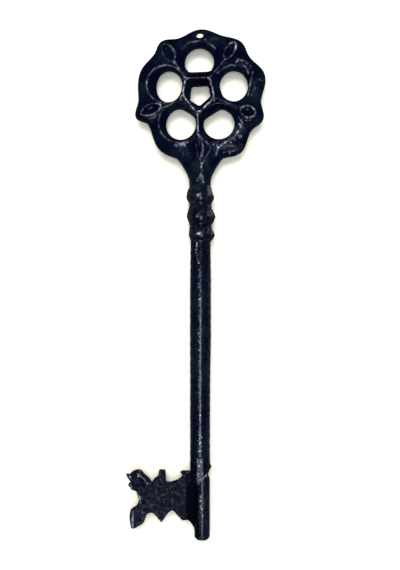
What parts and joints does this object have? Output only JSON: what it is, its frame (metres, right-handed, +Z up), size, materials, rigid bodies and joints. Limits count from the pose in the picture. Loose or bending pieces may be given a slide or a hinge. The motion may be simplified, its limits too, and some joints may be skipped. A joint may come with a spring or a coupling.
{
  "type": "decorative wall key",
  "caption": "Large ornamental skeleton key for a wall, with a pierced rosette bow, beaded collars, a round shank and a scroll-cut bit.",
  "frame": {"origin": "centre of the hanging hole, at mid thickness of the bow", "axes": "+Z up along the shank towards the top of the bow, -Y out of the front face, +Y along the hanging hole to the wall, flag of the bit towards -X"},
  "size_m": [0.1076, 0.022, 0.3889],
  "materials": {
    "painted_iron": "gloss navy-black enamel over rough cast iron",
    "pin_steel": "bare drawn steel, ends filed flush and painted over"
  },
  "bodies": {
    "root": {"bow": "painted_iron", "collar_upper": "painted_iron", "collar_middle": "painted_iron", "collar_lower": "painted_iron", "shank": "painted_iron", "bit": "painted_iron", "bow_pin": "pin_steel", "bit_pins": "pin_steel"}
  },
  "joints": []
}
